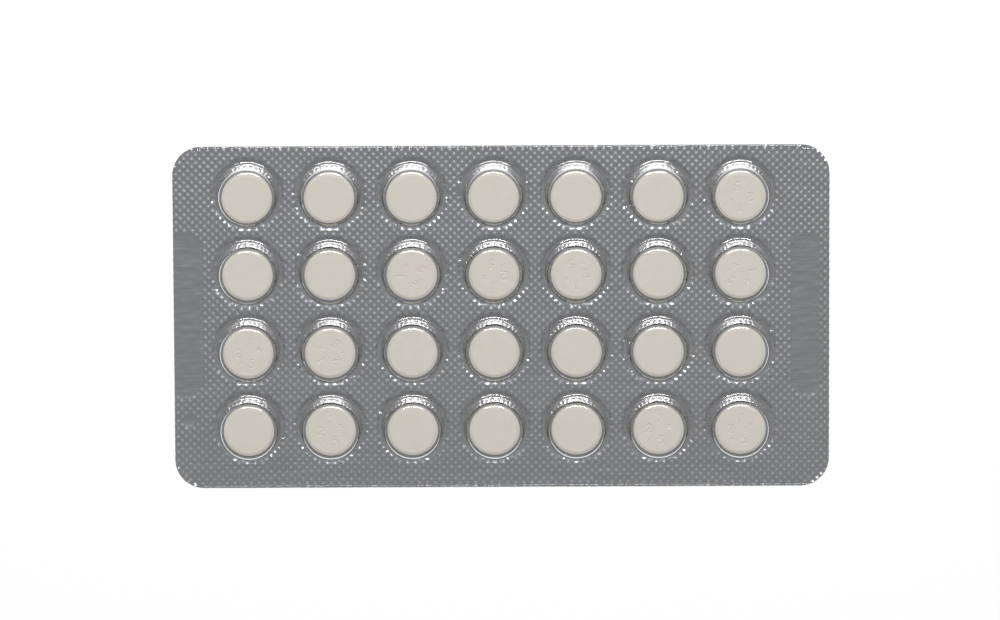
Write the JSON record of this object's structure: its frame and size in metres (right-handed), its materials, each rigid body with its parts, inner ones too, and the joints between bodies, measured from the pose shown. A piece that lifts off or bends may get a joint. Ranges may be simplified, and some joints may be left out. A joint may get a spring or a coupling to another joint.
{
  "type": "pill blister pack",
  "caption": "Flat rectangular blister pack: clear formed film with a grid of round pockets, each holding a bevelled tablet, sealed by knurled foil.",
  "frame": {"origin": "under the middle of the pack, on the lidding foil's underside", "axes": "+X along the pack's long side, +Y across it towards the back edge, which has the narrower margin, +Z out of the pockets"},
  "size_m": [0.09, 0.0476, 0.0038],
  "materials": {
    "clear_film": "clear gloss, formed",
    "foil": "satin, knurled by the seal",
    "tablet": "matt pressed powder"
  },
  "bodies": {
    "root": {"blister_web": "clear_film", "lidding_foil": "foil", "tablet_r1_c1": "tablet", "tablet_r1_c2": "tablet", "tablet_r1_c3": "tablet", "tablet_r1_c4": "tablet", "tablet_r1_c5": "tablet", "tablet_r1_c6": "tablet", "tablet_r1_c7": "tablet", "tablet_r2_c1": "tablet", "tablet_r2_c2": "tablet", "tablet_r2_c3": "tablet", "tablet_r2_c4": "tablet", "tablet_r2_c5": "tablet", "tablet_r2_c6": "tablet", "tablet_r2_c7": "tablet", "tablet_r3_c1": "tablet", "tablet_r3_c2": "tablet", "tablet_r3_c3": "tablet", "tablet_r3_c4": "tablet", "tablet_r3_c5": "tablet", "tablet_r3_c6": "tablet", "tablet_r3_c7": "tablet", "tablet_r4_c1": "tablet", "tablet_r4_c2": "tablet", "tablet_r4_c3": "tablet", "tablet_r4_c4": "tablet", "tablet_r4_c5": "tablet", "tablet_r4_c6": "tablet", "tablet_r4_c7": "tablet"}
  },
  "joints": []
}
